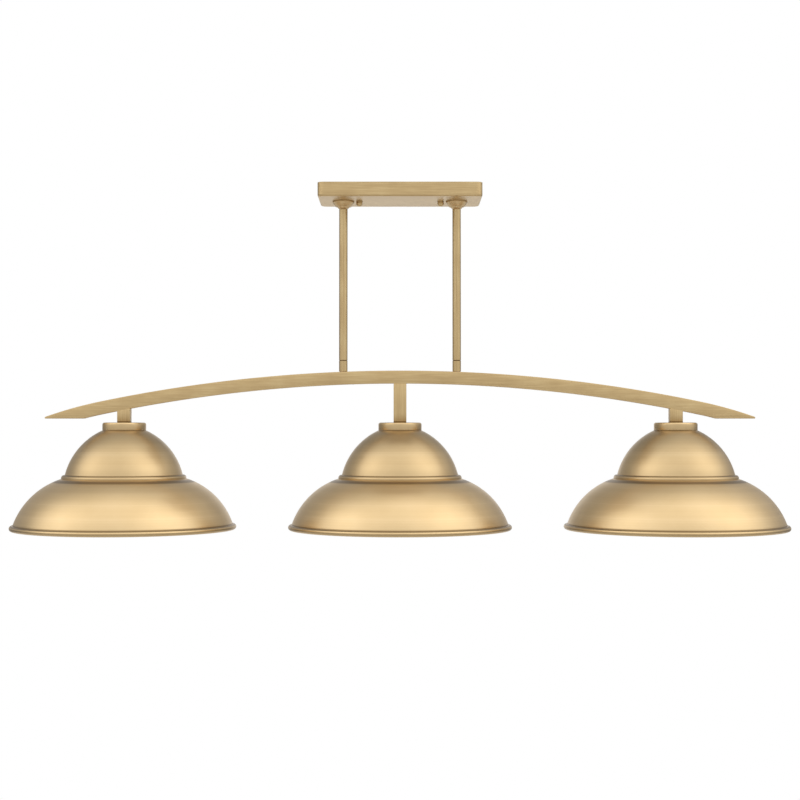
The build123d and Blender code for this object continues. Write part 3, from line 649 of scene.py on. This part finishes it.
spun_shade = spin_shade()
spun_collar = spin_collar()
for lamp, x in LAMPS.items():
    move = x - LAMPS["left"]
    shade = for_side(spun_shade, lamp, move)
    finish_piece(shade, f"{lamp}_shade", spun_brass[lamp], "aged_brass", f"shade_{lamp}")
    collar = for_side(spun_collar, lamp, move)
    finish_piece(collar, "arm", collar_brass[lamp], "aged_brass", f"collar_{lamp}")
    finish_piece(cut_post(lamp), "arm", post_brass, "aged_brass", f"post_{lamp}")

finish_piece(roll_bar(), "arm", brass_brushed_along, "aged_brass", "arched_bar", "bar_tip_plates")
for side in SIDES:
    for node in (f"rod_{side}", f"rod_coupling_{side}"):
        finish_piece(draw_tube(node), "arm", rod_brass, "aged_brass", node)


# ---------------------------------------------------------------- bulbs

def blow_bulb_glass():
    """Pear-shaped glass: straight neck in the cap, flared shoulder, round end."""
    neck, neck_length, round_end, wall = 12.0, 10.5, 30.0, 0.8
    low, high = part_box("bulb_glass_left")
    height = (high.z - low.z) / MM
    neck_foot, ball = (neck, -neck_length), (0, round_end - height)
    rise = neck_foot[1] - ball[1]
    flare_radius = (neck ** 2 + rise ** 2 - round_end ** 2) / (2 * (round_end - neck))
    flare = (neck + flare_radius, neck_foot[1])
    share = round_end / (round_end + flare_radius)
    touch = (flare[0] * share, ball[1] + rise * share)
    profile = [(neck, 0), (neck, -neck_length / 3), (neck, -neck_length * 2 / 3), neck_foot]
    profile += arc_points(flare, neck_foot, touch, 10)
    profile += arc_points(ball, touch, (round_end, ball[1]), 16)
    profile += arc_points(ball, (round_end, ball[1]), (0.0, -height), 24)
    glass = turn_on_lathe(
        "bulb_glass_left_blown", profile, LAMPS["left"], high.z / MM, around=96, closed=True,
    )
    thicken(glass, wall)
    return glass


def roll_bulb_cap():
    """Thin cap with the rounded thread rolled into it: a half-round rib on a helix."""
    root, crest, wall, pitch, turns = 12.55, 13.05, 0.5, 3.629, 3.6
    rib, rib_sides, thread_start, insulator_height = 0.95, 14, 3.6, 2.4
    x = LAMPS["left"] * MM
    low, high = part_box("bulb_cap_left")
    foot = low.z / MM
    edge = high.z / MM - insulator_height
    cap = turn_on_lathe("bulb_cap_left_rolled", [
        (root - wall, foot), (root, foot), (root, foot + 3), (root, edge - 1.5),
        (root - 0.5, edge - 0.4), (10.6, edge), (7.2, edge + 1.7),
    ], LAMPS["left"], around=96)
    thicken(cap, 0.9 * wall)
    start_piece()
    bpy.ops.mesh.primitive_circle_add(
        vertices=rib_sides, radius=rib * MM, rotation=(math.radians(90), 0, 0), enter_editmode=True,
        location=(x + (crest - rib) * MM, 0, (foot + thread_start) * MM),
    )
    thread = bpy.context.object
    thread.name = "bulb_cap_left_thread"
    bpy.ops.object.mode_set(mode="OBJECT")
    bpy.ops.object.transform_apply(location=False, rotation=True, scale=True)
    start_piece()
    thread.select_set(True)
    bpy.context.scene.cursor.location = (x, 0, (foot + thread_start) * MM)
    bpy.ops.object.origin_set(type="ORIGIN_CURSOR")
    add_modifier(
        thread, "SCREW", angle=2 * math.pi * turns, screw_offset=pitch * turns * MM,
        steps=round(64 * turns), use_merge_vertices=False,
    )
    bpy.ops.object.mode_set(mode="EDIT")
    bpy.ops.mesh.select_all(action="SELECT")
    bpy.ops.mesh.fill_holes(sides=rib_sides)
    bpy.ops.mesh.select_all(action="SELECT")
    bpy.ops.mesh.normals_make_consistent(inside=False)
    return join(cap, thread)


def cast_insulator():
    """Black glass cast into the cap's end, domed up to the contact and a hair short of the cap's top."""
    hole, top = 2.6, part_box("bulb_cap_left")[1].z / MM
    return turn_on_lathe("bulb_insulator_left_cast", [
        (radius, top - down) for radius, down in (
            (hole, 0.03), (4.4, 0.03), (6.2, 0.1), (7.0, 0.5), (7.6, 1.1), (7.6, 1.6), (hole, 1.6),
            (hole, 0.03),
        )
    ], LAMPS["left"], around=96, closed=True)


def drip_solder():
    """Domed blob of solder on the bulb's contact, on its stem."""
    stem, axis = 2.5, 0.02
    low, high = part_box("bulb_tip_left")
    top, stem_foot = high.z / MM, low.z / MM
    dome = ((axis, 0), (1.6, 0.05), (2.8, 0.25), (3.7, 0.65), (4.2, 1.2), (4.1, 1.6), (stem, 1.6))
    profile = [(radius, top - down) for radius, down in dome] + [(stem, stem_foot), (axis, stem_foot)]
    return turn_on_lathe("bulb_tip_left_soldered", profile, LAMPS["left"], around=64)


BULB_PIECES = (
    (blow_bulb_glass, "bulb", FINISHES["frosted_glass"], "frosted_glass", ("bulb_glass",)),
    (roll_bulb_cap, "bulb", rolled_aluminium, "bulb_cap_aluminium", ("bulb_cap",)),
    (cast_insulator, "bulb", black_glass, "black_insulation", ()),
    (drip_solder, "bulb_tip", tin_solder, "solder", ("bulb_tip",)),
)
for make, body, finish, slot, stands_for in BULB_PIECES:
    first = make()
    for lamp, x in LAMPS.items():
        piece = for_side(first, lamp, x - LAMPS["left"])
        finish_piece(piece, f"{lamp}_{body}", finish, slot, *[f"{node}_{lamp}" for node in stands_for])


# ---------------------------------------------------------------- canopy hardware

def turn_swivel_cup():
    """Turned cup: neck up through the canopy, flange against it, lip closed in under the ball."""
    seat, neck, flange, edge, lip_angle = 12.3, 14.0, 17.0, 0.3, math.radians(62)
    low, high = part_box("swivel_cup_left")
    top, lip_foot = high.z / MM, low.z / MM
    middle = top - 8.0
    flange_top, flange_foot = middle + 2.0, middle - 0.2
    lip = (seat * math.sin(lip_angle), middle - seat * math.cos(lip_angle))
    profile = [(seat, top), (seat, middle)]
    profile += arc_points((0, middle), (seat, middle), lip, 14)
    profile += [
        (lip[0] + 0.2, lip_foot), (lip[0] + 1.5, lip_foot), (lip[0] + 1.8, lip_foot + 0.2),
        (flange - edge, flange_foot - 0.05), (flange, flange_foot + edge), (flange, flange_top - edge),
        (flange - edge, flange_top), (neck, flange_top), (neck, top - edge), (neck - edge, top),
        (seat, top),
    ]
    return turn_on_lathe("swivel_cup_left_turned", profile, -ROD_X, around=96, closed=True)


def turn_swivel_ball():
    """Bored ball, flat on top, its foot cut where the rod screws up against it."""
    radius, flat_height = 12.0, 5.0
    low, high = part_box("swivel_ball_left")
    top, foot = high.z / MM, low.z / MM
    middle = top - flat_height
    top_r = math.sqrt(radius ** 2 - flat_height ** 2)
    foot_r = math.sqrt(radius ** 2 - (middle - foot) ** 2)
    profile = [(PIPE_BORE, top), (top_r, top)]
    profile += arc_points((0, middle), (top_r, top), (radius, middle), 8)
    profile += arc_points((0, middle), (radius, middle), (foot_r, foot), 20)
    profile += [(PIPE_BORE, foot), (PIPE_BORE, top)]
    return turn_on_lathe("swivel_ball_left_turned", profile, -ROD_X, around=96, closed=True)


def turn_cap_nuts():
    """Domed cap nuts on the studs, with a narrow collar against the canopy."""
    stud_hole, edge, groove = 2.25, 0.2, 0.35
    low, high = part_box("canopy_cap_nuts")
    radius, top, foot = (high.y - low.y) / 2 / MM, high.z / MM, low.z / MM
    shoulder = foot + radius
    profile = [
        (stud_hole, top), (radius - edge, top), (radius, top - edge), (radius, top - 0.9),
        (radius - groove, top - 1.2), (radius - groove, top - 1.5), (radius, top - 1.8),
        (radius, shoulder),
    ]
    profile += arc_points((0, shoulder), (radius, shoulder), (0.02, foot), 14)
    return join(*[
        turn_on_lathe("canopy_cap_nuts_turned", profile, x, around=48)
        for x in (low.x / MM + radius, high.x / MM - radius)
    ])


finish_piece(turn_cap_nuts(), "ceiling_mount", brass_brushed_down, "aged_brass", "canopy_cap_nuts")
for make, body, node in (
    (turn_swivel_cup, "ceiling_mount", "swivel_cup"), (turn_swivel_ball, "arm", "swivel_ball"),
):
    first = make()
    for side in SIDES:
        piece = for_side(first, side, 2 * ROD_X)
        finish_piece(piece, body, swivel_brass[side], "aged_brass", f"{node}_{side}")

# ---------------------------------------------------------------- studio

def set_up_world():
    """White behind the object, and round it a plain studio that lights it and shows in the metal.

    The camera sees white all round, also through glass. Glossy rays see it only where they go on
    nearly straight back: white all round would leave the metal without a light and a dark side.
    """
    world = bpy.data.worlds.new("studio")
    bpy.context.scene.world = world
    world.use_nodes = True
    tree = world.node_tree
    tree.nodes.clear()
    way = add_node(tree, "ShaderNodeTexCoord").outputs["Generated"]
    parts = add_node(tree, "ShaderNodeSeparateXYZ", {"Vector": way})
    x, y, z = (parts.outputs[axis] for axis in "XYZ")
    aside = calculate(tree, "ABSOLUTE", x)

    def lobe(toward, start, strength):
        """Soft light seen towards this way, wide for a small start."""
        near = add_node(tree, "ShaderNodeVectorMath", {0: way, 1: toward}, operation="DOT_PRODUCT")
        return soft_step(tree, near.outputs["Value"], start, 1.0, 0.0, strength)

    # light overhead and in front, a little less in the middle below the zenith
    overhead = soft_step(tree, z, 0.1, 0.85, 0.0, 0.63)
    less = soft_step(tree, aside, 0.0, 0.5, -0.18, 0.0)
    middle = calculate(tree, "MULTIPLY", less, soft_step(tree, z, 0.7, 0.95, 1.0, 0.0))
    light = calculate(tree, "ADD", calculate(tree, "ADD", overhead, middle), 0.46)
    ahead = soft_step(tree, y, -0.35, 0.6, 1.0, 0.0)
    # a level all round, dimmer low at the sides
    round_about = soft_step(tree, calculate(tree, "SUBTRACT", aside, z), 0.35, 0.85, 0.44, 0.26)
    # high on the right a wide light and a narrower one, and one on the left
    right = calculate(
        tree, "ADD", lobe((0.76, 0.0, 0.64), 0.5, 0.32), lobe((0.76, -0.15, 0.64), 0.85, 0.36),
    )
    sides = calculate(tree, "ADD", right, lobe((-0.84, -0.15, 0.52), 0.85, 0.62))
    level = calculate(tree, "ADD", calculate(tree, "MULTIPLY", light, ahead), round_about)
    level = calculate(tree, "ADD", level, sides)
    studio = add_node(tree, "ShaderNodeBackground", {"Color": colour("#FFFFFF"), "Strength": level})
    white = add_node(tree, "ShaderNodeBackground", {"Color": colour("#FFFFFF"), "Strength": 1.0})
    rays = add_node(tree, "ShaderNodeLightPath")
    straight_back = soft_step(tree, y, 0.88, 0.98, 0.0, 1.0)
    mirrored = calculate(tree, "MULTIPLY", rays.outputs["Is Glossy Ray"], straight_back)
    seen = calculate(tree, "MAXIMUM", seen_directly(tree, rays), mirrored)
    both = add_node(tree, "ShaderNodeMixShader", {
        "Fac": seen, 1: studio.outputs[0], 2: white.outputs[0],
    })
    add_node(tree, "ShaderNodeOutputWorld", {"Surface": both.outputs[0]})


def add_floor():
    """Pale floor far below the pendant, white to the camera like the world."""
    start_piece()
    bpy.ops.mesh.primitive_plane_add(size=12, location=(0, 0, FLOOR_Z))
    floor = bpy.context.object
    floor.name = "floor"
    material, tree = new_material("pale_floor")
    matt = add_node(tree, "ShaderNodeBsdfDiffuse", {"Color": colour("#D8D8D8")})
    white = add_node(tree, "ShaderNodeEmission", {"Color": colour("#FFFFFF"), "Strength": 1.0})
    seen = seen_directly(tree, add_node(tree, "ShaderNodeLightPath"))
    both = add_node(tree, "ShaderNodeMixShader", {
        "Fac": seen, 1: matt.outputs[0], 2: white.outputs[0],
    })
    floor.data.materials.append(finish_material(material, tree, both))


set_up_world()
add_floor()
